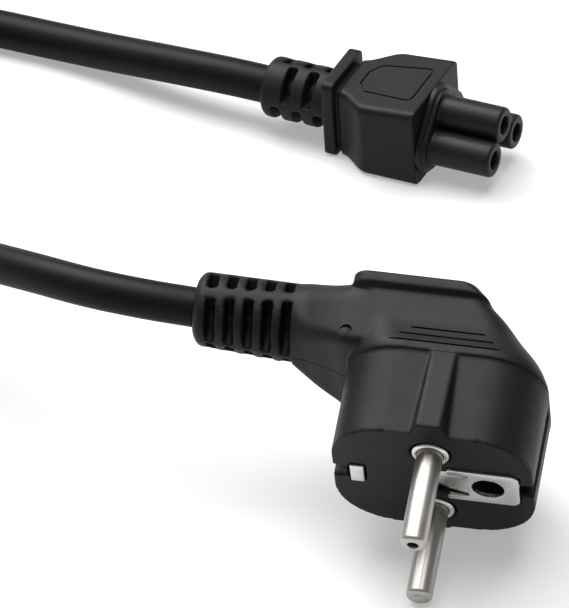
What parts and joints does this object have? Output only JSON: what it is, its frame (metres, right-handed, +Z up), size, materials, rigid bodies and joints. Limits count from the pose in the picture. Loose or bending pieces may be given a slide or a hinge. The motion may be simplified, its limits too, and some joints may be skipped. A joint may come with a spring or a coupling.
{
  "type": "power cord",
  "caption": "Black mains lead with a cloverleaf appliance connector at one end and a right-angle earthed plug with round pins at the other.",
  "frame": {"origin": "on the floor, under the middle of the box that holds the connector and the plug, without the cord", "axes": "+Z up from the floor the lead lies on, +Y from the plug to the connector, +X away from the stored coil of the cord"},
  "size_m": [0.202, 0.216, 0.0446],
  "materials": {
    "black_moulding": "satin fine grain PVC",
    "black_insert": "satin harder plastic",
    "cord_sheath": "smooth satin PVC",
    "nickel_plate": "satin nickel plated brass",
    "bright_plate": "bright plated contact metal"
  },
  "bodies": {
    "root": {"connector_body": "black_moulding", "connector_nose": "black_insert", "contact_sleeve_line": "bright_plate", "contact_sleeve_neutral": "bright_plate", "contact_sleeve_earth": "bright_plate", "plug_body": "black_moulding", "pin_upper": "nickel_plate", "pin_lower": "nickel_plate", "pin_collar_upper": "bright_plate", "pin_collar_lower": "bright_plate", "earth_plate": "bright_plate", "earth_clip": "bright_plate", "earth_socket": "bright_plate", "earth_strip_cord_side": "bright_plate", "earth_strip_far_side": "bright_plate", "cord_connector_run": "cord_sheath", "cord_coil": "cord_sheath", "cord_plug_run": "cord_sheath"}
  },
  "joints": []
}
